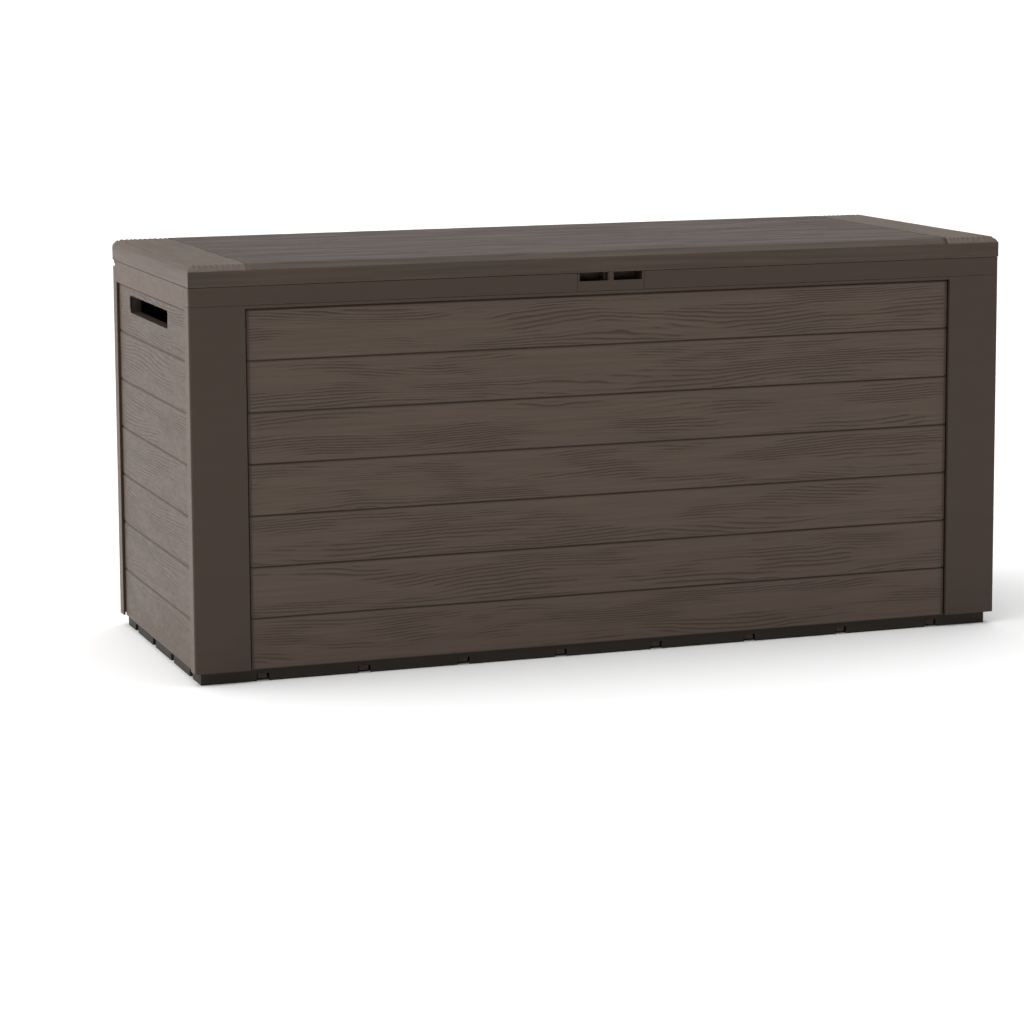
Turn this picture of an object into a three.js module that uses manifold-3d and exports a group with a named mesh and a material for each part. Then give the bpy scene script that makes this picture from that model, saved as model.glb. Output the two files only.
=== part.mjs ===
// Deck storage box: a knock-down garden box of moulded polypropylene panels.
// Millimetres, +Z up. The origin is on the ground under the middle of the box, the front faces -Y.
import * as THREE from "three";
import { mergeVertices } from "three/addons/utils/BufferGeometryUtils.js";
import Module from "manifold-3d";

// Overall sizes
const LENGTH = 1160;
const DEPTH = 440;
const HEIGHT = 550;

// Walls and clearances
const WALL = 2.8; // moulded skin of the panels, the floor and the lid's top
const FIT = 0.4; // gap between pieces that locate each other
const SEAM = 0.6; // gap under the closed lid
const CORNER = 3; // radius of the upright corners, on the lid and on the posts
const REACH = 1; // how far a cutting tool runs past the face that it cuts

// Lid
const LID_HEIGHT = 28.5;
const LID_SKIRT = 3.6; // thickness of the lid's rim
const LID_CHAMFER = 8.4; // along the lid's front and rear edges
const LID_END_ROUND = 11; // round-over at the lid's two ends
const LID_RIB_DEPTH = 15;
const LID_RIB_PITCH = 145;

// Panels
const POST_RETURN = 22; // how far the front and rear panels wrap round onto the ends
const STILE_WIDTH = 75; // plain upright border at each end of the front and rear panels
const BAND_HEIGHT = 29; // plain band above the top plank
const PLANK_RECESS = 4; // front and rear planks lie this far behind the stiles
const END_RECESS = 4; // the end panels' planks lie this far behind the posts
const PLANK_COUNT = 7;
const GROOVE_WIDTH = 5;
const GROOVE_DEPTH = 1.8;
const PANEL_FOOT = 17; // height of the panels' lower edge above the ground
const LEDGE_WIDTH = 10; // inward flange that stiffens the top edge
const LIP_HEIGHT = 6; // rain lip that stands up inside the closed lid
const LIP_WALL = 2.4;
const LIP_GAP = 1.2; // between the rain lip and the lid's rim
const RIB_WALL = 2.4;
const RIB_DEPTH = 8;
const RIB_PITCH = 139;
const TONGUE_WIDTH = 14; // the end panels' edges slip this far behind the posts

// Front rail: a channel over the front panel's top edge
const RAIL_ABOVE_PLANKS = 5; // from the top of the planks up to the rail
const RAIL_SEAM = 0.8; // gap under the rail's face
const RAIL_TONGUE = 8; // how far the rail reaches down behind the front panel

// Floor and plinth
const PLINTH_INSET = 10;
const FLOOR_LEVEL = 19; // underside of the floor plate
const RIM_HEIGHT = 16; // upstand that locates the panels' sills
const SNAP_WIDTH = 13;
const SNAP_WALL = 2.4;
const SNAP_END = 3; // height of the snap tongues' lower end
const WINDOW_WIDTH = 17;
const WINDOW_HEIGHT = 10;
const WINDOW_PITCH = 139;
const WINDOW_MARGIN = 90;
const END_WINDOW_PITCH = 105.5;
const END_WINDOW_MARGIN = 60;

// Hand-holds in the end panels
const GRIP_WIDTH = 218;
const GRIP_HEIGHT = 24;
const GRIP_CORNER = 4;
const GRIP_CENTRE_Y = 19;
const GRIP_BELOW_TOP = 53.5; // from the panel's top edge to the middle of the slot
const GRIP_LIP_DEPTH = 12;

// Finger recess under the lid, with the latch pocket behind it
const RECESS_WIDTH = 90;
const RECESS_SILL = 11; // depth of the opening below the panel's top edge
const POCKET_DEPTH = 27; // from the front face to the pocket's back
const POCKET_WALL = 2.5;
const POCKET_EAR = 9; // how far the pocket's ears reach over the ledge

// Padlock eye in the pocket, and the hasp plate under the lid that lies beside it
const EYE_WIDTH = 7.5;
const EYE_RADIUS = 4.2;
const EYE_BELOW_TOP = 10;
const EYE_SET_BACK = 14;
const HASP_WALL = 2.4;
const HASP_CLEAR = 1.6;
const HASP_DEPTH = 15;
const HASP_SET_BACK = 7.5; // from the front face to the hasp plate
const HASP_FOOT = 16; // width of the foot that holds the plate up under the lid

// Hinge
const BARREL_RADIUS = 5.7;
const BARREL_INSET = 6.2; // from the rear face to the hinge axis
const BARREL_CLEAR = 3; // round the barrel, for the lid's rim as it swings down behind
const WINDOW_CLEAR = 1.3; // round the knuckles, in the lid's rear edge
const PIN_RADIUS = 2;
const PIN_CLEAR = 0.35;
const PIN_HEAD_RADIUS = 4;
const PIN_HEAD = 2.4;
const KNUCKLE_WIDTH = 24;
const PIN_GRIP = 22; // length of pin inside the lid's barrel
const PIN_ACCESS = 52; // free barrel space for sliding the pin in
const HINGE_FROM_END = 125;
const HINGE_FROM_MIDDLE = 165;

// Corner pegs
const PEG_RADIUS = 2;
const PEG_CLEAR = 0.35;
const PEG_HEAD_RADIUS = 7;
const PEG_HEAD = 2;
const PEG_SHANK = 5.2;
const BOSS_RADIUS = 5;
const BOSS_HEIGHT = 4.8;
const PEG_FROM_FACE = 15;
const PEG_LOWEST = 80;
const PEG_BELOW_TOP = 61;

// Sides that round shapes are drawn with
const ROUND_SIDES = 24;
const HOLE_SIDES = 16;

// Levels and faces that follow from the sizes above
const halfLength = LENGTH / 2;
const halfDepth = DEPTH / 2;
const lidBase = HEIGHT - LID_HEIGHT;
const panelTop = lidBase - SEAM;
const plankTop = panelTop - BAND_HEIGHT;
const floorTop = FLOOR_LEVEL + WALL;
const sillBase = floorTop + FIT;
const fieldInner = halfDepth - PLANK_RECESS - WALL; // inner face of the front and rear planks
const endInner = halfLength - END_RECESS - WALL; // inner face of the end planks
const returnEdge = halfDepth - POST_RETURN;
const plinthX = halfLength - PLINTH_INSET;
const plinthY = halfDepth - PLINTH_INSET;
const sillX = plinthX - WALL - FIT - SNAP_WALL; // inner edge of the end panels' sills
const sillY = plinthY - WALL - FIT - SNAP_WALL; // inner edge of the front and rear sills
const hingeY = halfDepth - BARREL_INSET;
const hingeZ = lidBase;
const rebateBase = hingeZ - BARREL_RADIUS - BARREL_CLEAR;
const rebateInner = hingeY - BARREL_RADIUS - BARREL_CLEAR;
const padlockY = EYE_SET_BACK - halfDepth;
const padlockZ = panelTop - EYE_BELOW_TOP;
const lipFace = LID_SKIRT + LIP_GAP; // from the outer faces in to the rain lip
const recessSill = panelTop - RECESS_SILL;
const pocketHalf = RECESS_WIDTH / 2 + POCKET_WALL;
const railBase = plankTop + RAIL_ABOVE_PLANKS;
const railFoot = railBase - RAIL_TONGUE;
const railEnd = pocketHalf + FIT;
const fieldHalf = halfLength - STILE_WIDTH;

const wasm = await Module();
wasm.setup();

// A closed three.js geometry as a solid that can be joined and cut.
function solid(geometry) {
  geometry.deleteAttribute("normal");
  geometry.deleteAttribute("uv");
  const merged = mergeVertices(geometry, 1e-4);
  return new wasm.Manifold(
    new wasm.Mesh({
      numProp: 3,
      vertProperties: new Float32Array(merged.attributes.position.array),
      triVerts: new Uint32Array(merged.index.array),
    }),
  );
}

function join(pieces) {
  return pieces.reduce((whole, piece) => whole.add(piece));
}

function cut(body, tools) {
  return tools.reduce((rest, tool) => rest.subtract(tool), body);
}

// Two values as a span, lowest first.
function between(a, b) {
  return [Math.min(a, b), Math.max(a, b)];
}

// A span of the given width about a middle.
function about(middle, width) {
  return [middle - width / 2, middle + width / 2];
}

// A block given by its span along each axis.
function block([x0, x1], [y0, y1], [z0, z1]) {
  const g = new THREE.BoxGeometry(x1 - x0, y1 - y0, z1 - z0);
  g.translate((x0 + x1) / 2, (y0 + y1) / 2, (z0 + z1) / 2);
  return solid(g);
}

// A round bar along X.
function barX(radius, [x0, x1], y, z, sides) {
  const g = new THREE.CylinderGeometry(radius, radius, x1 - x0, sides);
  g.rotateZ(Math.PI / 2);
  g.translate((x0 + x1) / 2, y, z);
  return solid(g);
}

// An outline drawn in Y and Z, drawn out along X.
function prismX(outline, [x0, x1]) {
  const g = new THREE.ExtrudeGeometry(outline, { depth: x1 - x0, bevelEnabled: false, curveSegments: 4 });
  g.rotateX(Math.PI / 2);
  g.rotateZ(Math.PI / 2);
  g.translate(x0, 0, 0);
  return solid(g);
}

// A rectangle with round corners, centred on (cx, cy).
function roundedRectangle(width, height, radius, cx = 0, cy = 0) {
  const x = width / 2 - radius;
  const y = height / 2 - radius;
  const right = Math.PI / 2;
  const s = new THREE.Shape();
  s.moveTo(cx - x, cy - y - radius);
  s.absarc(cx + x, cy - y, radius, -right, 0, false);
  s.absarc(cx + x, cy + y, radius, 0, right, false);
  s.absarc(cx - x, cy + y, radius, right, 2 * right, false);
  s.absarc(cx - x, cy - y, radius, 2 * right, 3 * right, false);
  s.closePath();
  return s;
}

// A plate of the given outline in X and Y.
function plate(outline, [z0, z1]) {
  const g = new THREE.ExtrudeGeometry(outline, { depth: z1 - z0, bevelEnabled: false, curveSegments: 4 });
  g.translate(0, 0, z0);
  return solid(g);
}

// A bar along X whose two upper edges are rounded over.
function archedBar(width, round, [z0, z1], span) {
  const half = width / 2;
  const s = new THREE.Shape();
  s.moveTo(-half, z0);
  s.lineTo(half, z0);
  s.absarc(half - round, z1 - round, round, 0, Math.PI / 2, false);
  s.absarc(round - half, z1 - round, round, Math.PI / 2, Math.PI, false);
  s.closePath();
  return prismX(s, span);
}

// A bar along X whose two upper edges are chamfered.
function chamferedBar(width, chamfer, [z0, z1], span) {
  const half = width / 2;
  const s = new THREE.Shape();
  s.moveTo(-half, z0);
  s.lineTo(half, z0);
  s.lineTo(half, z1 - chamfer);
  s.lineTo(half - chamfer, z1);
  s.lineTo(chamfer - half, z1);
  s.lineTo(-half, z1 - chamfer);
  s.closePath();
  return prismX(s, span);
}

// A slab with small upright corners, chamfered along the front and rear and rounded over at the
// ends. An inset slab keeps an even wall inside the full one.
function lidSlab(inset, [z0, z1]) {
  const length = LENGTH - 2 * inset;
  const depth = DEPTH - 2 * inset;
  const chamfer = LID_CHAMFER - inset * (2 - Math.SQRT2);
  const along = chamferedBar(depth, chamfer, [z0, z1], about(0, length));
  const across = archedBar(length, LID_END_ROUND - inset, [z0, z1], about(0, depth)).rotate([0, 0, 90]);
  const corner = Math.max(CORNER - inset, REACH);
  return along.intersect(across).intersect(plate(roundedRectangle(length, depth, corner), [z0, z1]));
}

// Places along a line, spread evenly about its middle and at least the margin from both ends.
function spread(length, pitch, margin) {
  const count = Math.floor((length - 2 * margin) / pitch) + 1;
  return Array.from({ length: count }, (_, i) => (i - (count - 1) / 2) * pitch);
}

// A V-shaped bar along X that cuts a groove into a face looking along -Y.
function groove(span, faceY, z, width, depth) {
  const half = (width / 2) * (1 + REACH / depth);
  const s = new THREE.Shape();
  s.moveTo(faceY - REACH, z - half);
  s.lineTo(faceY + depth, z);
  s.lineTo(faceY - REACH, z + half);
  s.closePath();
  return prismX(s, span);
}

function mirrorX(shape) {
  return shape.scale([-1, 1, 1]);
}

function mirrorY(shape) {
  return shape.scale([1, -1, 1]);
}

const plankPitch = (plankTop - PANEL_FOOT) / PLANK_COUNT;
const grooveLevels = Array.from({ length: PLANK_COUNT - 1 }, (_, i) => PANEL_FOOT + (i + 1) * plankPitch);
const windowsX = spread(LENGTH, WINDOW_PITCH, WINDOW_MARGIN);
const windowsY = spread(DEPTH, END_WINDOW_PITCH, END_WINDOW_MARGIN);
const pegTop = panelTop - PEG_BELOW_TOP;
const pegHeights = { low: PEG_LOWEST, middle: (PEG_LOWEST + pegTop) / 2, high: pegTop };
const pegY = halfDepth - PEG_FROM_FACE;
const bossEnd = halfLength - WALL - BOSS_HEIGHT;
const hinges = { inner: HINGE_FROM_MIDDLE, outer: halfLength - HINGE_FROM_END };

// The long wall that the front and rear panels share, drawn as the front one.
// It wraps round both corners, and its planks lie back between two stiles and a top band.
function longWall() {
  const inSkin = -halfDepth + WALL / 2;
  const outside = plate(roundedRectangle(LENGTH, DEPTH, CORNER), [PANEL_FOOT, panelTop]);
  const behind = block(
    [-halfLength - REACH, halfLength + REACH],
    [-returnEdge, halfDepth + REACH],
    [PANEL_FOOT - REACH, panelTop + REACH],
  );
  const within = block(
    [-halfLength + WALL, halfLength - WALL],
    [-halfDepth + WALL, -returnEdge + REACH],
    [PANEL_FOOT - REACH, panelTop + REACH],
  );
  const shell = cut(outside, [behind, within]);
  const backing = block([-fieldHalf - WALL, fieldHalf + WALL], [inSkin, -fieldInner], [sillBase, plankTop + WALL]);
  const apron = block([-fieldHalf, fieldHalf], [inSkin, -fieldInner], [PANEL_FOOT, sillBase + WALL]);
  const sill = block([-sillX, sillX], [inSkin, -sillY], [sillBase, sillBase + WALL]);
  const ledge = block(
    [-halfLength + WALL / 2, halfLength - WALL / 2],
    [inSkin, -halfDepth + WALL + LEDGE_WIDTH],
    [panelTop - WALL, panelTop],
  );
  const snaps = windowsX.map((x) =>
    block(about(x, SNAP_WIDTH), [-sillY - SNAP_WALL, -sillY], [SNAP_END, sillBase + WALL / 2]),
  );
  const ribLevels = [floorTop + RIM_HEIGHT + FIT, railFoot - FIT];
  const ribs = spread(LENGTH, RIB_PITCH, STILE_WIDTH + RIB_PITCH / 2).map((x) =>
    block(about(x, RIB_WALL), [-fieldInner - WALL / 2, -fieldInner + RIB_DEPTH], ribLevels),
  );
  const bosses = [];
  const bores = [];
  for (const side of [-1, 1]) {
    for (const z of Object.values(pegHeights)) {
      const root = side * (halfLength - WALL / 2);
      bosses.push(barX(BOSS_RADIUS, between(side * bossEnd, root), -pegY, z, ROUND_SIDES));
      bores.push(barX(PEG_RADIUS + PEG_CLEAR, between(side * (bossEnd - REACH), root), -pegY, z, HOLE_SIDES));
    }
  }
  const recess = block(
    [-fieldHalf, fieldHalf],
    [-halfDepth - REACH, -halfDepth + PLANK_RECESS],
    [PANEL_FOOT - REACH, plankTop],
  );
  const grooves = grooveLevels.map((z) =>
    groove([-fieldHalf, fieldHalf], -halfDepth + PLANK_RECESS, z, GROOVE_WIDTH, GROOVE_DEPTH),
  );
  const grooveFloor = [-halfDepth + PLANK_RECESS - REACH, -halfDepth + PLANK_RECESS + GROOVE_DEPTH];
  const half = GROOVE_WIDTH / 2;
  const borders = [
    block([-fieldHalf, fieldHalf], grooveFloor, [plankTop - half, plankTop]),
    block([-fieldHalf, -fieldHalf + half], grooveFloor, [PANEL_FOOT - REACH, plankTop]),
    block([fieldHalf - half, fieldHalf], grooveFloor, [PANEL_FOOT - REACH, plankTop]),
  ];
  const whole = join([shell, backing, apron, sill, ledge, ...snaps, ...ribs, ...bosses]);
  return cut(whole, [recess, ...borders, ...grooves, ...bores]);
}

// The part of the long wall above or below a level, on the front face and round both corners.
function frontPart([x0, x1], [z0, z1]) {
  return longWall().intersect(block([x0, x1], [-halfDepth - REACH, -returnEdge + REACH], [z0, z1]));
}

// The front panel stops below the front rail.
function frontPanel() {
  return frontPart([-halfLength - REACH, halfLength + REACH], [SNAP_END - REACH, railBase - RAIL_SEAM]);
}

// The left half of the front rail: face, ledge and rain lip, with a web that reaches down behind
// the front panel. It stops at the latch pocket.
function frontRail() {
  const face = frontPart([-halfLength - REACH, -railEnd], [railBase, panelTop + REACH]);
  const lip = block(
    [-halfLength + POST_RETURN, -railEnd],
    [-halfDepth + lipFace, -halfDepth + lipFace + LIP_WALL],
    [panelTop - WALL / 2, panelTop + LIP_HEIGHT],
  );
  const web = block(
    [-fieldHalf, -railEnd],
    [-fieldInner + FIT, -fieldInner + FIT + RIB_WALL],
    [railFoot, panelTop - WALL / 2],
  );
  return join([face, lip, web]);
}

// The latch pocket: a tray between the two halves of the rail, hung on their ledges by two ears.
// Fingers reach in over its sill, and the padlock eye stands in the middle.
function latchPocket() {
  const half = RECESS_WIDTH / 2;
  const back = -halfDepth + POCKET_DEPTH;
  const tray = block([-pocketHalf, pocketHalf], [-halfDepth, back], [railBase, panelTop]);
  const hollow = block(
    [-half, half],
    [-halfDepth + POCKET_WALL, back - POCKET_WALL],
    [railBase + POCKET_WALL, panelTop + REACH],
  );
  const mouth = block(
    [-half, half],
    [-halfDepth - REACH, -halfDepth + POCKET_WALL + REACH],
    [recessSill, panelTop + REACH],
  );
  const earDepth = [-halfDepth + lipFace + LIP_WALL + FIT, back];
  const earTop = panelTop + FIT + POCKET_WALL;
  const ears = [-1, 1].flatMap((side) => [
    block(between(side * half, side * pocketHalf), earDepth, [recessSill, earTop]),
    block(between(side * half, side * (pocketHalf + POCKET_EAR)), earDepth, [panelTop + FIT, earTop]),
  ]);
  const eye = block(about(0, EYE_WIDTH), [-halfDepth, back], [railBase, panelTop]);
  const hole = barX(EYE_RADIUS, about(0, EYE_WIDTH + 2 * REACH), padlockY, padlockZ, HOLE_SIDES);
  return join([cut(tray, [hollow, mouth]), ...ears, eye.subtract(hole)]);
}

// The rear panel's top edge steps in to clear the lid's barrel, and carries the hinge knuckles.
function rearPanel() {
  const rebate = block(
    [-halfLength - REACH, halfLength + REACH],
    [rebateInner, halfDepth + REACH],
    [rebateBase, panelTop + REACH],
  );
  const inside = [-halfLength + WALL / 2, halfLength - WALL / 2];
  const upstand = block(inside, [rebateInner - WALL, rebateInner], [rebateBase - WALL, panelTop]);
  const shelf = block(inside, [rebateInner - WALL, halfDepth - WALL / 2], [rebateBase - WALL, rebateBase]);
  const knuckles = Object.values(hinges).flatMap((x) => {
    const span = [x - FIT - KNUCKLE_WIDTH, x - FIT];
    const web = block(
      span,
      [rebateInner - WALL / 2, hingeY + BARREL_RADIUS / 2],
      [rebateBase - WALL / 2, hingeZ],
    );
    const bore = barX(PIN_RADIUS + PIN_CLEAR, [span[0] - REACH, span[1] + REACH], hingeY, hingeZ, HOLE_SIDES);
    const knuckle = barX(BARREL_RADIUS, span, hingeY, hingeZ, ROUND_SIDES).add(web).subtract(bore);
    return [knuckle, mirrorX(knuckle)];
  });
  return join([mirrorY(longWall()).subtract(rebate), upstand, shelf, ...knuckles]);
}

// The left end panel: planks between the posts, a hand-hold slot with a lip behind it,
// and upright edges that slip behind the posts.
function endPanel() {
  const edge = returnEdge - FIT;
  const face = -halfLength;
  const tongue = block(
    [face + WALL + FIT, -endInner],
    [-edge - TONGUE_WIDTH, edge + TONGUE_WIDTH],
    [sillBase, rebateBase - WALL - FIT],
  );
  const sill = block(
    [-endInner - WALL / 2, -sillX],
    [-edge + POST_RETURN / 2, edge - POST_RETURN / 2],
    [sillBase, sillBase + WALL],
  );
  const lip = block(
    [face + lipFace, face + lipFace + LIP_WALL],
    [-edge, edge - POST_RETURN],
    [panelTop - WALL / 2, panelTop + LIP_HEIGHT],
  );
  const gripOutline = (wall) =>
    roundedRectangle(
      GRIP_WIDTH + 2 * wall,
      GRIP_HEIGHT + 2 * wall,
      GRIP_CORNER + wall,
      GRIP_CENTRE_Y,
      panelTop - GRIP_BELOW_TOP,
    );
  const gripEnd = -endInner + GRIP_LIP_DEPTH;
  const gripLip = prismX(gripOutline(WALL), [-endInner - WALL / 2, gripEnd]);
  const grip = prismX(gripOutline(0), [face - REACH, gripEnd + REACH]);
  const snaps = windowsY.map((y) =>
    block([-sillX - SNAP_WALL, -sillX], about(y, SNAP_WIDTH), [SNAP_END, sillBase + WALL / 2]),
  );
  const recess = block(
    [face - REACH, face + END_RECESS],
    [-edge - REACH, edge + REACH],
    [PANEL_FOOT - REACH, plankTop],
  );
  const bandHollow = block(
    [face + WALL, -endInner + REACH],
    [-edge + WALL, edge - WALL],
    [plankTop + WALL, panelTop - WALL],
  );
  const grooves = grooveLevels.map((z) =>
    groove([-edge - REACH, edge + REACH], 0, z, GROOVE_WIDTH, GROOVE_DEPTH)
      .rotate([0, 0, -90])
      .translate([face + END_RECESS, 0, 0]),
  );
  const pegHoles = [-pegY, pegY].flatMap((y) =>
    Object.values(pegHeights).map((z) =>
      barX(BOSS_RADIUS + FIT, [face + WALL, -endInner + REACH], y, z, ROUND_SIDES),
    ),
  );
  const skin = block([face, -endInner], [-edge, edge], [PANEL_FOOT, panelTop]);
  const whole = join([skin, tongue, sill, lip, gripLip, ...snaps]);
  return cut(whole, [recess, bandHollow, grip, ...grooves, ...pegHoles]);
}

// A rectangular wall standing on edge, given by its outer half sizes.
function ring(x, y, [z0, z1]) {
  return block([-x, x], [-y, y], [z0, z1]).subtract(
    block([-x + WALL, x - WALL], [-y + WALL, y - WALL], [z0 - REACH, z1 + REACH]),
  );
}

// The floor: a plate on a plinth and a grid of ribs, with slots for the panels' snap tongues
// and windows in the plinth where the tongues catch.
function floorPanel() {
  const plateX = endInner - FIT;
  const plateY = fieldInner - FIT;
  const inPlate = FLOOR_LEVEL + WALL / 2;
  const deck = block([-plateX, plateX], [-plateY, plateY], [FLOOR_LEVEL, floorTop]);
  const plinth = ring(plinthX, plinthY, [0, inPlate]);
  const rim = ring(sillX - FIT, sillY - FIT, [inPlate, floorTop + RIM_HEIGHT]);
  const ribX = sillX - WALL;
  const ribY = sillY - WALL;
  const crossRibs = spread(LENGTH, WINDOW_PITCH, WINDOW_MARGIN + WINDOW_PITCH / 2).map((x) =>
    block(about(x, WALL), [-ribY, ribY], [0, inPlate]),
  );
  const longRibs = spread(DEPTH, END_WINDOW_PITCH, END_WINDOW_MARGIN + END_WINDOW_PITCH / 2).map((y) =>
    block([-ribX, ribX], about(y, WALL), [0, inPlate]),
  );
  const slotLevels = [FLOOR_LEVEL - REACH, floorTop + REACH];
  const windowLevels = [-REACH, WINDOW_HEIGHT];
  const slotWidth = SNAP_WIDTH + 2 * FIT;
  const tools = [];
  for (const side of [-1, 1]) {
    const slotY = between(side * (sillY - FIT), side * (plinthY - WALL));
    const slotX = between(side * (sillX - FIT), side * (plinthX - WALL));
    const throughY = between(side * (sillY - FIT), side * (plinthY + REACH));
    const throughX = between(side * (sillX - FIT), side * (plinthX + REACH));
    for (const x of windowsX) {
      tools.push(block(about(x, slotWidth), slotY, slotLevels));
      tools.push(block(about(x, WINDOW_WIDTH), throughY, windowLevels));
    }
    for (const y of windowsY) {
      tools.push(block(slotX, about(y, slotWidth), slotLevels));
      tools.push(block(throughX, about(y, WINDOW_WIDTH), windowLevels));
    }
  }
  return cut(join([deck, plinth, rim, ...crossRibs, ...longRibs]), tools);
}

// The lid: a ribbed tray turned over, with a barrel along its rear edge.
function lid() {
  const outer = lidSlab(0, [lidBase, HEIGHT]);
  const underside = HEIGHT - WALL;
  const hollow = lidSlab(LID_SKIRT, [lidBase - REACH, underside]);
  const barrelHalf = halfLength - LID_SKIRT / 2;
  const barrel = barX(BARREL_RADIUS, [-barrelHalf, barrelHalf], hingeY, hingeZ, ROUND_SIDES);
  const knuckleWindow = (x) =>
    block(
      [x - 2 * FIT - KNUCKLE_WIDTH - PIN_ACCESS, x],
      [hingeY - BARREL_RADIUS - WINDOW_CLEAR, halfDepth + REACH],
      [hingeZ - BARREL_RADIUS - WINDOW_CLEAR, hingeZ + BARREL_RADIUS + WINDOW_CLEAR],
    );
  const pinBore = (x) =>
    barX(PIN_RADIUS + PIN_CLEAR, [x - REACH, x + PIN_GRIP + REACH], hingeY, hingeZ, HOLE_SIDES);
  const hingeTools = Object.values(hinges).flatMap((x) => {
    const tools = [knuckleWindow(x), pinBore(x)];
    return [...tools, ...tools.map(mirrorX)];
  });
  const ribLevels = [underside - LID_RIB_DEPTH, underside + WALL / 2];
  const ribX = halfLength - LID_SKIRT / 2;
  const ribY = halfDepth - LID_SKIRT / 2;
  const crossRibs = spread(LENGTH, LID_RIB_PITCH, LID_RIB_PITCH / 2).map((x) =>
    block(about(x, RIB_WALL), [-ribY, ribY], ribLevels),
  );
  const longRibs = spread(DEPTH, LID_RIB_PITCH, LID_RIB_PITCH / 2).map((y) =>
    block([-ribX, ribX], about(y, RIB_WALL), ribLevels),
  );
  const trims = join([...crossRibs, ...longRibs]).intersect(outer);
  return cut(join([outer.subtract(hollow), trims, barrel]), hingeTools);
}

// The hasp plate: it hangs from a foot under the lid, and its hole lines up with the padlock eye.
function haspPlate() {
  const x = -EYE_WIDTH / 2 - HASP_CLEAR;
  const top = HEIGHT - WALL - FIT;
  const front = -halfDepth + HASP_SET_BACK;
  const back = front + HASP_DEPTH;
  const behindChamfer = -halfDepth + LID_SKIRT + LID_CHAMFER;
  const web = join([
    block([x - HASP_WALL, x], [front, back], [padlockZ - EYE_RADIUS - HASP_WALL, top - LID_CHAMFER]),
    block([x - HASP_WALL, x], [behindChamfer, back], [padlockZ, top]),
  ]);
  const foot = block([x - HASP_FOOT, x], [behindChamfer, back], [top - HASP_WALL, top]);
  const hole = barX(EYE_RADIUS, [x - HASP_WALL - REACH, x + REACH], padlockY, padlockZ, HOLE_SIDES);
  return web.add(foot).subtract(hole);
}

// A headed pin, pushed along X through a rear knuckle into the lid's barrel.
function hingePin(x) {
  const headFace = x - 2 * FIT - KNUCKLE_WIDTH;
  const shank = barX(PIN_RADIUS, [headFace - PIN_HEAD / 2, x + PIN_GRIP], hingeY, hingeZ, HOLE_SIDES);
  return shank.add(barX(PIN_HEAD_RADIUS, [headFace - PIN_HEAD, headFace], hingeY, hingeZ, ROUND_SIDES));
}

// A push-in peg that holds an end panel's edge behind a post, drawn at the left end.
function cornerPeg(y, z) {
  const headFace = -bossEnd + FIT;
  const shank = barX(PEG_RADIUS, [headFace - PEG_SHANK, headFace + PEG_HEAD / 2], y, z, HOLE_SIDES);
  return shank.add(barX(PEG_HEAD_RADIUS, [headFace, headFace + PEG_HEAD], y, z, ROUND_SIDES));
}

const box = new THREE.Group();

function plastic(color, roughness) {
  return new THREE.MeshStandardMaterial({ color, roughness, metalness: 0 });
}

const wallBrown = plastic(0x554a43, 0.55);
const lidBrown = plastic(0x5e534b, 0.5);
const floorBrown = plastic(0x3c3631, 0.6);
const pinBlack = plastic(0x2a2725, 0.5);

function place(name, shape, material) {
  const made = shape.getMesh();
  const g = new THREE.BufferGeometry();
  g.setAttribute("position", new THREE.BufferAttribute(new Float32Array(made.vertProperties), 3));
  g.setIndex(new THREE.BufferAttribute(new Uint32Array(made.triVerts), 1));
  g.computeVertexNormals();
  const mesh = new THREE.Mesh(g, material);
  mesh.name = name;
  box.add(mesh);
}

place("floor_panel", floorPanel(), floorBrown);
place("front_panel", frontPanel(), wallBrown);
const leftRail = frontRail();
place("front_rail_left", leftRail, wallBrown);
place("front_rail_right", mirrorX(leftRail), wallBrown);
place("latch_pocket", latchPocket(), wallBrown);
place("rear_panel", rearPanel(), wallBrown);
const leftEnd = endPanel();
place("left_end_panel", leftEnd, wallBrown);
place("right_end_panel", mirrorX(leftEnd), wallBrown);
place("lid", lid(), lidBrown);
place("hasp_plate", haspPlate(), lidBrown);
for (const [where, x] of Object.entries(hinges)) {
  const pin = hingePin(x);
  place(`hinge_pin_right_${where}`, pin, pinBlack);
  place(`hinge_pin_left_${where}`, mirrorX(pin), pinBlack);
}
for (const [level, z] of Object.entries(pegHeights)) {
  for (const [face, y] of Object.entries({ front: -pegY, rear: pegY })) {
    const peg = cornerPeg(y, z);
    place(`corner_peg_left_${face}_${level}`, peg, pinBlack);
    place(`corner_peg_right_${face}_${level}`, mirrorX(peg), pinBlack);
  }
}

export default box;
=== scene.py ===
import math

import bmesh
import bpy
from mathutils import Matrix, Vector


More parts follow.
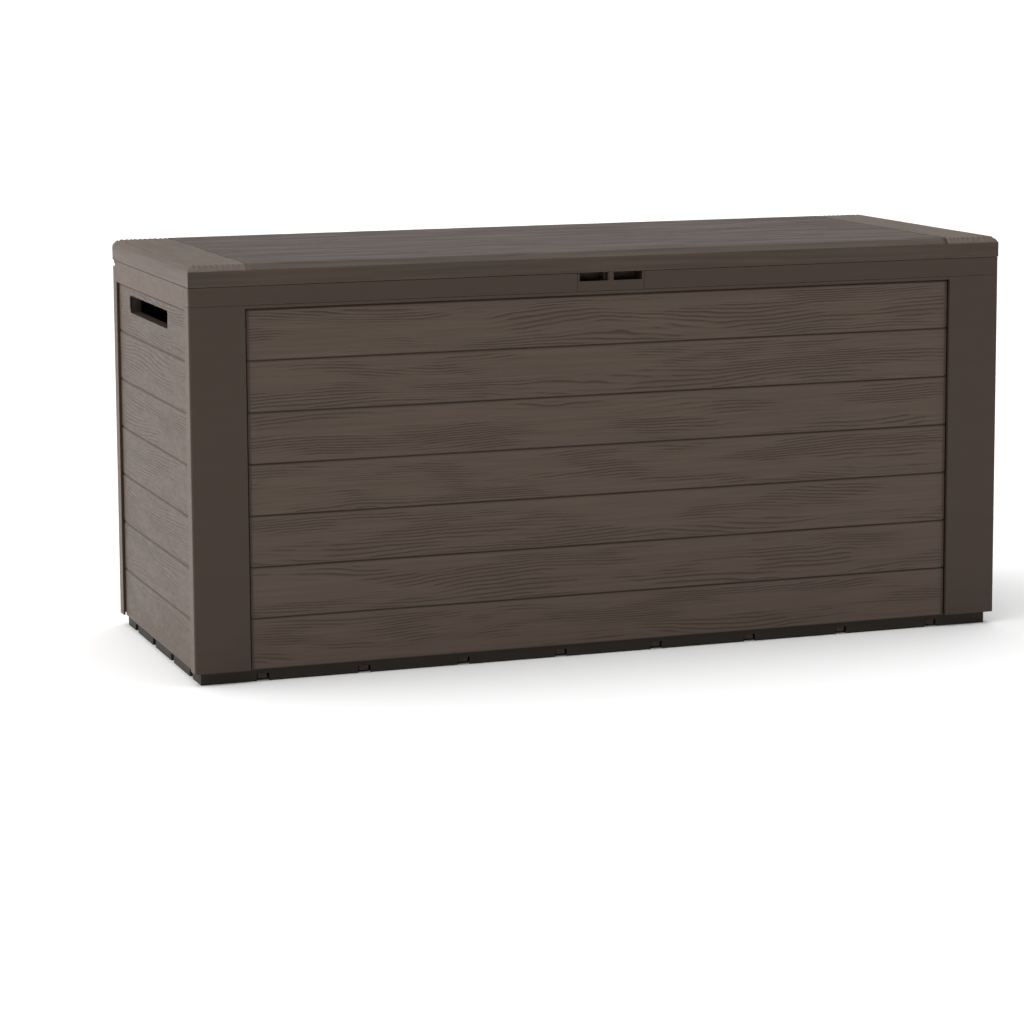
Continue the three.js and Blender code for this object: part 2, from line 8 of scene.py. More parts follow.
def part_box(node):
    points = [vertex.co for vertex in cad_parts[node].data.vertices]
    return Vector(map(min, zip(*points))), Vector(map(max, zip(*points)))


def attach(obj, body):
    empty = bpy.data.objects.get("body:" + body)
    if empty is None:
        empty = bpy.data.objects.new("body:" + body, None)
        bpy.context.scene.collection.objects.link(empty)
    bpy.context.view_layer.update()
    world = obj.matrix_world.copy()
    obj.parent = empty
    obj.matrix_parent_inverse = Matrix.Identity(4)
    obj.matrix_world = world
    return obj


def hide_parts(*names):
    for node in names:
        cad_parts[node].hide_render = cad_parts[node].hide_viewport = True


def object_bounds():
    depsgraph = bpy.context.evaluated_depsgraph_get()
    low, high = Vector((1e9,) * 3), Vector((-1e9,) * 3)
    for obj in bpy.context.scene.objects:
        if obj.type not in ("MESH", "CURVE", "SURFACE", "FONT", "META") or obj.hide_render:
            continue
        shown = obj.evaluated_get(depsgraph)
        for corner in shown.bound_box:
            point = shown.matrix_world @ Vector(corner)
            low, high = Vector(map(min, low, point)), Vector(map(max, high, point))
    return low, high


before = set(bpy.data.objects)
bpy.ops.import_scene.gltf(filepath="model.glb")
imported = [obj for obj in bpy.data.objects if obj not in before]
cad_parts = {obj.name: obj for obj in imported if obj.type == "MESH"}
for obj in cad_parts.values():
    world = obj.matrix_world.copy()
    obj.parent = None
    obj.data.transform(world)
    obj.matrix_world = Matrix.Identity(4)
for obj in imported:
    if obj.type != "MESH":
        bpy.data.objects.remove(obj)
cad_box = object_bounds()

# ---------------------------------------------------------------------------------------------
# Studio: a long lens standing front left of the box, a white floor, and soft white surroundings
# that are brighter overhead and to the left and dim on the camera's side. No part of the box.
# ---------------------------------------------------------------------------------------------
MM = 0.001
MATHS = "ShaderNodeMath"


def linear(hex_colour):
    """An sRGB colour such as "4f453e" as the linear values that shaders take."""
    parts = [int(hex_colour[i : i + 2], 16) / 255 for i in (0, 2, 4)]
    return [c / 12.92 if c <= 0.04045 else ((c + 0.055) / 1.055) ** 2.4 for c in parts] + [1.0]


def add(tree, kind, settings=None, *values, **inputs):
    """Adds one node. Settings that are one word mean its operation. Values go to its inputs in turn,
    and a key such as i2 or Size_X names the input. A socket is linked, and a node by its first
    output. Anything else is set."""
    node = tree.nodes.new(kind)
    if isinstance(settings, str):
        settings = {"operation": settings}
    for key, value in (settings or {}).items():
        setattr(node, key, value)
    inputs.update({f"i{n}": value for n, value in enumerate(values)})
    for key, value in inputs.items():
        numbered = key[0] == "i" and key[1:].isdigit()
        socket = node.inputs[int(key[1:])] if numbered else node.inputs[key.replace("_", " ")]
        if isinstance(value, bpy.types.Node):
            value = value.outputs[0]
        if isinstance(value, bpy.types.NodeSocket):
            tree.links.new(value, socket)
        else:
            socket.default_value = value
    return node


def new_object(name, mesh):
    thing = bpy.data.objects.new(name, mesh)
    bpy.context.scene.collection.objects.link(thing)
    return thing


camera_data = bpy.data.cameras.new("camera")
camera_data.sensor_width = 36
camera_data.lens = 113.08
camera_data.shift_y = -0.1
camera = new_object("camera", camera_data)
yaw, pitch, roll = math.radians(19.503), math.radians(7.899), math.radians(0.305)
turned = Matrix.Rotation(-yaw, 4, "Z") @ Matrix.Rotation(math.pi / 2 - pitch, 4, "X")
camera.matrix_world = (
    Matrix.Translation((-1.5559, -4.2132, 0.9304)) @ turned @ Matrix.Rotation(-roll, 4, "Z")
)
bpy.context.scene.camera = camera
bpy.context.scene.view_settings.view_transform = "Standard"

world = bpy.data.worlds.new("white surroundings")
world.use_nodes = True
sky = world.node_tree
looking = add(sky, "ShaderNodeTexCoord").outputs["Generated"]
ahead = add(sky, "ShaderNodeVectorMath", {"operation": "DOT_PRODUCT"}, i0=looking, i1=(0.75, -0.66, 0.0))
behind_camera = add(
    sky, "ShaderNodeMapRange", {"interpolation_type": "SMOOTHSTEP"},
    Value=ahead.outputs["Value"], i1=-0.3, i2=0.6, i3=0.42, i4=0.08,
)
level = behind_camera.outputs[0]
for direction, power, strength in (((0.0, 0.0, 1.0), 3.5, 2.3), ((-0.95, 0.2, 0.25), 3.5, 1.75)):
    facing = add(sky, "ShaderNodeVectorMath", {"operation": "DOT_PRODUCT"}, i0=looking, i1=direction)
    lobe = add(sky, "ShaderNodeMath", {"operation": "MAXIMUM"}, i0=facing.outputs["Value"], i1=0.0)
    lobe = add(sky, "ShaderNodeMath", {"operation": "POWER"}, i0=lobe.outputs[0], i1=power)
    level = add(
        sky, "ShaderNodeMath", {"operation": "MULTIPLY_ADD"}, i0=lobe.outputs[0], i1=strength, i2=level
    ).outputs[0]
seen = add(sky, "ShaderNodeLightPath").outputs["Is Camera Ray"]
level = add(sky, "ShaderNodeMix", None, i0=seen, i2=level, i3=1.1).outputs[0]
sky.links.new(level, sky.nodes["Background"].inputs["Strength"])
sky.nodes["Background"].inputs["Color"].default_value = (1, 1, 1, 1)
bpy.context.scene.world = world

floor_mesh = bpy.data.meshes.new("studio_floor")
floor_mesh.from_pydata([(-30, -30, 0), (30, -30, 0), (30, 30, 0), (-30, 30, 0)], [], [(0, 1, 2, 3)])
floor_paint = bpy.data.materials.new("matt white paint")
floor_paint.use_nodes = True
floor_paint.node_tree.nodes["Principled BSDF"].inputs["Base Color"].default_value = linear("fafafa")
floor_paint.node_tree.nodes["Principled BSDF"].inputs["Roughness"].default_value = 0.9
floor_mesh.materials.append(floor_paint)
studio_floor = new_object("studio_floor", floor_mesh)

# ---------------------------------------------------------------------------------------------
# Front panel: one injection moulding in brown polypropylene. It wraps round both front corners
# and carries seven planks with moulded wood grain, sunk between two plain stiles.
# ---------------------------------------------------------------------------------------------


def moulded_plastic(name, face, low, rough, streak_turn=0.0, embossed=True, shine=0.35, streaky=0.22):
    """Polypropylene as moulded, satin: a brown through-colour, paler and darker streaks of pigment, painted
    shade towards the low colour in grain valleys and groove bottoms, and the fine bite of a spark-eroded
    mould."""
    material = bpy.data.materials.new(name)
    material.use_nodes = True
    tree = material.node_tree
    shader = tree.nodes["Principled BSDF"]
    place = add(tree, "ShaderNodeTexCoord").outputs["Object"]
    along = add(tree, "ShaderNodeMapping", Vector=place)
    along.inputs["Rotation"].default_value = (0, 0, streak_turn)
    streaks = add(tree, "ShaderNodeMapping", Vector=along.outputs["Vector"])
    streaks.inputs["Scale"].default_value = (6, 60, 220)
    flow = add(tree, "ShaderNodeTexNoise", Vector=streaks.outputs["Vector"], Scale=1.0, Detail=4.0)
    shade = add(
        tree, "ShaderNodeMapRange", None, Value=flow.outputs[0], i1=0.3, i2=0.7, i3=0.0, i4=streaky
    ).outputs[0]
    if embossed:
        # Painted shade: the "grain" attribute darkens grain valleys and groove bottoms towards the low
        # colour.
        depth = add(tree, "ShaderNodeAttribute", {"attribute_name": "grain"}).outputs["Fac"]
        valley = add(tree, "ShaderNodeMath", {"operation": "SUBTRACT"}, i0=1.0, i1=depth).outputs[0]
        shade = add(
            tree, "ShaderNodeMath", {"operation": "MULTIPLY_ADD", "use_clamp": True},
            i0=valley, i1=0.9, i2=shade,
        ).outputs[0]
    colour = add(tree, "ShaderNodeMix", {"data_type": "RGBA"}, i0=shade, i6=linear(face), i7=linear(low))
    tree.links.new(colour.outputs[2], shader.inputs["Base Color"])
    # Spark-eroded texture: bites of about 0.6 mm, coarser than real so that they show.
    bite = add(tree, "ShaderNodeTexNoise", Vector=place, Scale=1 / (0.6 * MM), Detail=2.0)
    fibres = add(tree, "ShaderNodeMapping", Vector=along.outputs["Vector"])
    fibres.inputs["Scale"].default_value = (40, 700, 1400)
    fibre = add(tree, "ShaderNodeTexNoise", Vector=fibres.outputs["Vector"], Scale=1.0, Detail=3.0)
    both = add(
        tree, "ShaderNodeMath", {"operation": "MULTIPLY_ADD"},
        i0=fibre.outputs[0], i1=1.4 if embossed else 0.25, i2=bite.outputs[0],
    )
    bump = add(tree, "ShaderNodeBump", Strength=0.35, Distance=0.1 * MM, Height=both.outputs[0])
    tree.links.new(bump.outputs["Normal"], shader.inputs["Normal"])
    gloss = add(
        tree, "ShaderNodeMapRange", None,
        Value=flow.outputs[0], i1=0.2, i2=0.8, i3=rough - 0.05, i4=rough + 0.05,
    )
    tree.links.new(gloss.outputs[0], shader.inputs["Roughness"])
    shader.inputs["IOR"].default_value = 1.49
    shader.inputs["Specular IOR Level"].default_value = shine
    return material


def geometry_tree(name, inputs):
    """An empty Geometry Nodes tree with its named inputs, and the node that hands them out."""
    tree = bpy.data.node_groups.new(name, "GeometryNodeTree")
    for label, kind in inputs.items():
        tree.interface.new_socket(label, in_out="INPUT", socket_type="NodeSocket" + kind)
    return tree, tree.nodes.new("NodeGroupInput").outputs


def stretched_noise(tree, given, along_scale, across_scale, detail, shift=0):
    """Noise from 0 to 1, drawn out along the grain. The scales are in cycles to a metre."""
    along = add(tree, MATHS, "MULTIPLY", given["Along"], along_scale)
    across = add(tree, MATHS, "MULTIPLY", given["Across"], across_scale)
    seed = add(tree, MATHS, "ADD", given["Seed"], shift)
    spot = add(tree, "ShaderNodeCombineXYZ", None, along, across, seed)
    return add(tree, "ShaderNodeTexNoise", Vector=spot, Scale=1.0, Detail=detail)


def grain_group():
    """Moulded wood grain: growth lines a few millimetres apart that drift, bend round knots and
    come and go, over fine fibres. Gives 1 on the face and 0 at the bottom of a line."""
    tree, given = geometry_tree(
        "wood grain",
        {"Along": "Float", "Across": "Float", "Seed": "Float", "Spacing": "Float", "Drift": "Float",
         "Cover": "Float"},
    )
    tree.interface.new_socket("Height", in_out="OUTPUT", socket_type="NodeSocketFloat")
    bend = add(tree, MATHS, "SUBTRACT", stretched_noise(tree, given, 4.2, 20, 0.0), 0.5)
    bend = add(tree, MATHS, "MULTIPLY", bend, given["Drift"])
    waver = add(tree, MATHS, "SUBTRACT", stretched_noise(tree, given, 17, 55, 1.0), 0.5)
    waver = add(tree, MATHS, "MULTIPLY", waver, 5 * MM)
    moved = add(tree, MATHS, "ADD", add(tree, MATHS, "ADD", given["Across"], bend), waver)
    line = add(tree, MATHS, "PINGPONG", add(tree, MATHS, "DIVIDE", moved, given["Spacing"]), 0.5)
    cut = add(
        tree, "ShaderNodeMapRange", {"interpolation_type": "SMOOTHSTEP"},
        Value=line, i1=0.0, i2=0.3, i3=1.0, i4=0.0,
    )
    patch = stretched_noise(tree, given, 6, 42, 2.0, shift=31)
    patch = add(tree, MATHS, "ADD", patch, given["Cover"])
    strength = add(tree, "ShaderNodeMapRange", None, Value=patch, i1=0.44, i2=0.56, i3=0.05, i4=1.0)
    fibre = stretched_noise(tree, given, 30, 620, 2.0, shift=57)
    fibre = add(tree, MATHS, "MULTIPLY", add(tree, MATHS, "SUBTRACT", fibre, 0.32), 0.75)
    lines = add(tree, MATHS, "MULTIPLY", cut, strength)
    depth = add(tree, MATHS, "ADD", lines, add(tree, MATHS, "MULTIPLY", fibre, 0.3))
    height = add(tree, MATHS, "MAXIMUM", add(tree, MATHS, "SUBTRACT", 1.0, depth), 0.0)
    height = add(tree, MATHS, "MINIMUM", height, 1.0)
    out = tree.nodes.new("NodeGroupOutput")
    tree.links.new(height.outputs[0], out.inputs[0])
    return tree


wood_grain = grain_group()


def finish_tree(tree, geometry, material):
    """Every tree ends alike: real geometry, one material."""
    tree.interface.new_socket("Geometry", in_out="OUTPUT", socket_type="NodeSocketGeometry")
    real = add(tree, "GeometryNodeRealizeInstances", Geometry=geometry).outputs[0]
    coated = add(tree, "GeometryNodeSetMaterial", Geometry=real, Material=material).outputs[0]
    out = tree.nodes.new("NodeGroupOutput")
    tree.links.new(coated, out.inputs["Geometry"])


def sink_by(tree, geometry, drop, grain):
    """Lowers each point by the drop and stores the given value, painted shade for the grain valleys and
    grooves, as the "grain" attribute that the material reads.
    """
    offset = add(tree, "ShaderNodeCombineXYZ", Z=add(tree, MATHS, "MULTIPLY", drop, -1)).outputs[0]
    kept = add(tree, "GeometryNodeStoreNamedAttribute", {"data_type": "FLOAT", "domain": "POINT"},
               Geometry=geometry, Name="grain", Value=grain).outputs[0]
    return add(tree, "GeometryNodeSetPosition", Geometry=kept, Offset=offset).outputs[0]


def planked_tree():
    """A field of planks lying flat: a fine sheet, a groove between planks, and each plank with grain of its
    own. Painted shade darkens the groove bottoms and the grain valleys."""
    tree, given = geometry_tree(
        "planked field",
        {"Length": "Float", "Height": "Float", "Planks": "Int", "Columns": "Int", "Rows": "Int",
         "Groove Width": "Float", "Groove Depth": "Float", "Groove Shade": "Float", "Grain Depth": "Float",
         "Grain Spacing": "Float", "Drift": "Float", "Seed": "Float", "Material": "Material"},
    )
    sheet = add(tree, "GeometryNodeMeshGrid", Size_X=given["Length"], Size_Y=given["Height"],
                Vertices_X=given["Columns"], Vertices_Y=given["Rows"]).outputs["Mesh"]
    place = add(tree, "ShaderNodeSeparateXYZ", Vector=add(tree, "GeometryNodeInputPosition").outputs[0])
    pitch = add(tree, MATHS, "DIVIDE", given["Height"], given["Planks"])
    up = add(tree, MATHS, "ADD", place.outputs["Y"], add(tree, MATHS, "MULTIPLY", given["Height"], 0.5))
    count = add(tree, MATHS, "DIVIDE", add(tree, MATHS, "ADD", up, 1e-6), pitch)
    plank = add(tree, MATHS, "FLOOR", count)
    above = add(tree, MATHS, "MULTIPLY", add(tree, MATHS, "FRACT", count), pitch)
    below = add(tree, MATHS, "SUBTRACT", pitch, above)
    half = add(tree, MATHS, "MULTIPLY", given["Groove Width"], 0.5)
    # The groove's upper side is steep and its lower side long, so that the lower side catches light.
    steep = add(tree, MATHS, "MULTIPLY", above, 1.7)
    edge = add(tree, MATHS, "MINIMUM", steep, add(tree, MATHS, "MULTIPLY", below, 0.8))
    end = add(tree, MATHS, "MULTIPLY", given["Length"], 0.5)
    end = add(tree, MATHS, "SUBTRACT", end, add(tree, MATHS, "ABSOLUTE", place.outputs["X"]))
    edge = add(tree, MATHS, "MINIMUM", edge, end)
    groove = add(
        tree, "ShaderNodeMapRange", {"interpolation_type": "SMOOTHSTEP"},
        Value=edge, i1=0.0, i2=half, i3=1.0, i4=0.0,
    )
    seed = add(tree, MATHS, "MULTIPLY_ADD", plank, 7.31, given["Seed"])
    shift = add(tree, MATHS, "MULTIPLY_ADD", plank, 0.417, place.outputs["X"])
    grain = add(
        tree, "GeometryNodeGroup", {"node_tree": wood_grain}, Along=shift, Across=place.outputs["Y"],
        Seed=seed, Spacing=given["Grain Spacing"], Drift=given["Drift"], Cover=0.0,
    )
    # The grain fades out beside a groove.
    clear = add(
        tree, "ShaderNodeMapRange", {"interpolation_type": "SMOOTHSTEP"},
        Value=edge, i1=half, i2=add(tree, MATHS, "MULTIPLY", half, 2.2), i3=0.0, i4=1.0,
    )
    cut = add(tree, MATHS, "MULTIPLY", add(tree, MATHS, "SUBTRACT", 1.0, grain), clear)
    grain_drop = add(tree, MATHS, "MULTIPLY", cut, given["Grain Depth"])
    drop = add(tree, MATHS, "MULTIPLY_ADD", groove, given["Groove Depth"], grain_drop)
    # Painted shade: the groove bottoms, scaled by Groove Shade, and the grain valleys are darkened in
    # colour.
    deepest = add(tree, MATHS, "MULTIPLY", groove, groove)
    groove_painted_shade = add(tree, MATHS, "MULTIPLY", deepest, given["Groove Shade"])
    shade = add(tree, MATHS, "MULTIPLY_ADD", cut, 0.3, groove_painted_shade)
    sunk = sink_by(tree, sheet, drop, add(tree, MATHS, "SUBTRACT", 1.0, shade))
    finish_tree(tree, sunk, given["Material"])
    return tree


def grow(tree, name, **values):
    """Runs a tree on an empty object with the given inputs, and returns the result as a plain mesh."""
    host = new_object(name, bpy.data.meshes.new(name))
    nodes = host.modifiers.new("tree", "NODES")
    nodes.node_group = tree
    for item in tree.interface.items_tree:
        label = item.name.replace(" ", "_")
        if item.in_out == "INPUT" and label in values:
            nodes[item.identifier] = values[label]
    made = bpy.data.meshes.new_from_object(host.evaluated_get(bpy.context.evaluated_depsgraph_get()))
    host.modifiers.remove(nodes)
    made.materials.clear()
    made.materials.append(values["Material"])
    for p in made.polygons:
        p.material_index = 0
    host.data = made
    return host


def rim_edges(work):
    return [e for e in work.edges if e.is_boundary]


def close_sheet(piece, thickness):
    """Gives an open sheet straight sides and one flat back."""
    work = bmesh.new()
    work.from_mesh(piece.data)
    back = min(v.co.z for v in work.verts) - thickness
    drawn = bmesh.ops.extrude_edge_only(work, edges=rim_edges(work))["geom"]
    for v in drawn:
        if isinstance(v, bmesh.types.BMVert):
            v.co.z = back
    bmesh.ops.contextual_create(work, geom=rim_edges(work), mat_nr=0, use_smooth=False)
    bmesh.ops.recalc_face_normals(work, faces=work.faces)
    for f in work.faces:
        f.smooth = len(f.verts) == 4 and f.normal.z > 0.2
    work.to_mesh(piece.data)
    work.free()


def moulded_copy(node, name, material, edge=0.5 * MM, nudge=None):
    """A moulding from the frame with its loose triangles joined and its edges eased."""
    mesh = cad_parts[node].data.copy()
    mesh.name = name
    work = bmesh.new()
    work.from_mesh(mesh)
    bmesh.ops.remove_doubles(work, verts=work.verts, dist=1e-6)
    if nudge:
        for v in work.verts:
            nudge(v.co)
    bmesh.ops.dissolve_limit(work, angle_limit=math.radians(0.5), verts=work.verts, edges=work.edges)
    for f in work.faces:
        f.smooth = True
    work.to_mesh(mesh)
    work.free()
    mesh.materials.clear()
    mesh.materials.append(material)
    for p in mesh.polygons:
        p.material_index = 0
    piece = new_object(name, mesh)
    eased = piece.modifiers.new("eased edges", "BEVEL")
    eased.width = edge
    eased.segments = 2
    eased.limit_method = "ANGLE"
    eased.angle_limit = math.radians(30)
    flat = piece.modifiers.new("flat faces stay flat", "WEIGHTED_NORMAL")
    flat.weight = 100
    return piece


def paint_light_on_ends(piece):
    """Paints light on the outer faces that look left or right: they get a paler copy of the plain plastic,
    painted light standing in for the light that falls on the ends.
    """
    piece.data.materials.append(end_painted_light_plastic)
    for p in piece.data.polygons:
        if abs(p.normal.x) > 0.9 and abs(p.center.x) > half_length - painted_light_reach:
            p.material_index = 1


stile = 75 * MM
plank_recess = 4 * MM
band = 29 * MM
groove_width = 5.5 * MM
groove_depth = 2.0 * MM
grain_depth = 0.95 * MM
grain_spacing = 4.4 * MM
grain_drift = 31 * MM
planks = 7
row_pitch = 0.76 * MM        # fine enough for a grain line to have two slopes
sheet_backing = 0.3 * MM
painted_light_reach = 6 * MM

# Painted light: a paler copy of the plain plastic for the faces at the ends, standing in for the light that
# falls on them, not a different plastic.
end_painted_light_plastic = moulded_plastic("brown polypropylene, ends, painted light", "594a3e", "514338", 0.5, embossed=False)
# The low colour serves both the darker pigment streaks and the painted shade in grain valleys and groove
# bottoms.
wall_plastic = moulded_plastic("brown polypropylene, grained", "56473c", "1e1813", 0.5)
plain_plastic = moulded_plastic(
    "brown polypropylene, plain", "42362e", "3b3028", 0.5, embossed=False, shine=0.25
)
half_length, half_depth, lid_top = cad_box[1]
lid_height = 28.5 * MM
lid_clearance = 0.6 * MM
lid_base = lid_top - lid_height
panel_foot = 17 * MM
panel_top = lid_base - lid_clearance
field_top = panel_top - band

front_shell = moulded_copy("front_panel", "front_panel_shell", plain_plastic)
paint_light_on_ends(front_shell)
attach(front_shell, "base")
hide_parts("front_panel")

planked = planked_tree()


def plank_field(name, length, turn, corner, columns, seed, groove_shade=1.0):
    """Grows a field of planks and stands it against its wall. Corner is the middle of its foot."""
    height = field_top - panel_foot
    piece = grow(
        planked, name, Length=length, Height=height, Planks=planks, Columns=columns,
        Rows=int(height / row_pitch), Groove_Width=groove_width, Groove_Depth=groove_depth,
        Groove_Shade=groove_shade, Grain_Depth=grain_depth, Grain_Spacing=grain_spacing,
        Drift=grain_drift, Seed=seed, Material=wall_plastic,
    )
    close_sheet(piece, sheet_backing)
    standing = Matrix.Rotation(turn, 4, "Z") @ Matrix.Rotation(math.pi / 2, 4, "X")
    piece.data.transform(Matrix.Translation(corner + Vector((0, 0, height / 2))) @ standing)
    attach(piece, "base")
    return piece


proud = 0.55 * MM     # how far the planks' faces stand in front of the recess that they line
field_length = 2 * (half_length - stile) - 0.4 * MM
face_depth = half_depth - plank_recess + proud
plank_field("front_planks", field_length, 0.0, Vector((0, -face_depth, panel_foot)), 150, 3.0)

# ---------------------------------------------------------------------------------------------
# Top rails and latch pocket: plain mouldings that finish the front's top edge. The pocket hangs
# between the rails, with two openings for fingertips and an eye for a padlock between them.
# ---------------------------------------------------------------------------------------------
rail_tongue = 8 * MM
rail_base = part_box("front_rail_left")[0][2] + rail_tongue
seam_closing = 0.45 * MM


def close_seam(co):
    """Brings the rails' and the latch pocket's lower edge down to a hairline above the panel."""
    if abs(co.z - rail_base) < 0.1 * MM:
        co.z -= seam_closing


for node in ("front_rail_left", "front_rail_right", "latch_pocket"):
    moulding = moulded_copy(node, f"{node}_shell", plain_plastic, 0.3 * MM, nudge=close_seam)
    paint_light_on_ends(moulding)
    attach(moulding, "base")
    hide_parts(node)

# ---------------------------------------------------------------------------------------------
# Rear panel: the same moulding as the front, with a stepped top edge for the lid's barrel and
# the hinge knuckles standing on it.
# ---------------------------------------------------------------------------------------------
rear_shell = moulded_copy("rear_panel", "rear_panel_shell", plain_plastic)
paint_light_on_ends(rear_shell)
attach(rear_shell, "base")
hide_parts("rear_panel")
plank_field("rear_planks", field_length, math.pi, Vector((0, face_depth, panel_foot)), 150, 43.0)

# ---------------------------------------------------------------------------------------------
# End panels: planks between the corner posts, with a hand-hold slot through the top plank and a
# lip behind the slot that stiffens it. Their edges are pegged behind the posts.
# ---------------------------------------------------------------------------------------------
post_return = 22 * MM
end_length = 2 * (half_depth - post_return) - 1.2 * MM
grip_middle = Vector((19 * MM, panel_top - 53.5 * MM))
grip_size = Vector((218 * MM, 24 * MM))
grip_corner = 4 * MM


def cut_grip(piece, side):
    """Takes the hand-hold slot out of a field of planks with a round-cornered cutter."""
    outline = []
    for n in range(4):
        sy, sz = ((1, 1), (-1, 1), (-1, -1), (1, -1))[n]
        for step in range(7):
            angle = math.pi / 2 * (n + step / 6)
            outline.append(
                (
                    grip_middle.x + sy * (grip_size.x / 2 - grip_corner) + grip_corner * math.cos(angle),
                    grip_middle.y + sz * (grip_size.y / 2 - grip_corner) + grip_corner * math.sin(angle),
                )
            )
    work = bmesh.new()
    ring = [work.verts.new((side * (half_length - 30 * MM), y, z)) for y, z in outline]
    face = work.faces.new(ring)
    drawn = bmesh.ops.extrude_face_region(work, geom=[face])["geom"]
    for v in drawn:
        if isinstance(v, bmesh.types.BMVert):
            v.co.x += side * 60 * MM
    bmesh.ops.recalc_face_normals(work, faces=work.faces)
    mesh = bpy.data.meshes.new("grip_cutter")
    work.to_mesh(mesh)
    work.free()
    cutter = new_object("grip_cutter", mesh)
    taken = piece.modifiers.new("hand-hold", "BOOLEAN")
    taken.operation = "DIFFERENCE"
    taken.object = cutter
    taken.solver = "EXACT"
    made = bpy.data.meshes.new_from_object(piece.evaluated_get(bpy.context.evaluated_depsgraph_get()))
    piece.modifiers.remove(taken)
    piece.data = made
    bpy.data.objects.remove(cutter)


for side, label in ((-1, "left"), (1, "right")):
    shell = moulded_copy(f"{label}_end_panel", f"{label}_end_shell", plain_plastic)
    # Painted light: the end panel's outward faces take the paler plastic.
    paint_light_on_ends(shell)
    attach(shell, "base")
    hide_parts(f"{label}_end_panel")
    turn = side * math.pi / 2
    corner = Vector((side * (half_length - plank_recess + proud), 0, panel_foot))
    field = plank_field(f"{label}_planks", end_length, turn, corner, 80, 80.0 + 20 * side, 0.0)
    cut_grip(field, side)

# ---------------------------------------------------------------------------------------------
# Floor: a plain polypropylene moulding, with the plinth round it and a grid of ribs beneath. It is
# set in under the panels.
# ---------------------------------------------------------------------------------------------
# Painted shade: the floor is coloured darker than the panels' plastic, in part standing in for the shade
# under the panels' overhang.
floor_painted_shade_plastic = moulded_plastic(
    "brown polypropylene, floor", "2c261f", "241f1a", 0.6, embossed=False, shine=0.25
)
floor_shell = moulded_copy("floor_panel", "floor_shell", floor_painted_shade_plastic)
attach(floor_shell, "base")
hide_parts("floor_panel")

# ---------------------------------------------------------------------------------------------
# Lid: one moulding. Its skin has grain along the middle field and across at both ends, like a
# breadboard. The long edges are chamfered and the ends rounded. A ribbed tray lies underneath.
# ---------------------------------------------------------------------------------------------
chamfer = 8.4 * MM
end_round = 11 * MM
skin = 1.3 * MM
underside = lid_top - 3.6 * MM
end_band = 78 * MM
seam = half_length - end_band
window_outer_ends = (165 * MM, 455 * MM)     # from the middle of the lid, the same on both sides
window_length = 77 * MM
window_margin = 8 * MM
window_height = 7.2 * MM
inner_wall = 15 * MM
# The lid's low colour serves both the pigment streaks and the painted shade in the grain valleys.
lid_plastic = moulded_plastic("brown polypropylene, lid", "4a3c32", "1e1813", 0.52, streaky=0.45)
# Painted light: the lid's end stretches get a paler copy of the lid plastic, standing in for the light that
# their cross-grain ridges catch; the turned streaks are the plastic's own.
lid_end_painted_light_plastic = moulded_plastic("brown polypropylene, lid ends", "5a4c42", "1e1813", 0.5, math.pi / 2)


def wrapped(tree, run, half, size, chamfer=False):
    """Wraps a run along the surface over a rounded or chamfered edge: gives the distance out and
    the drop."""
    length = add(tree, MATHS, "ABSOLUTE", run)
    flat = add(tree, MATHS, "SUBTRACT", half, size)
    past = add(tree, MATHS, "MAXIMUM", add(tree, MATHS, "SUBTRACT", length, flat), 0.0)
    if chamfer:
        out = drop = add(tree, MATHS, "MULTIPLY", past, math.sqrt(0.5))
    else:
        over = add(tree, MATHS, "DIVIDE", past, size)
        out = add(tree, MATHS, "MULTIPLY", add(tree, MATHS, "SINE", over), size)
        fallen = add(tree, MATHS, "SUBTRACT", 1.0, add(tree, MATHS, "COSINE", over))
        drop = add(tree, MATHS, "MULTIPLY", fallen, size)
    reach = add(tree, MATHS, "ADD", out, add(tree, MATHS, "MINIMUM", length, flat))
    return add(tree, MATHS, "MULTIPLY", reach, add(tree, MATHS, "SIGN", run)), drop


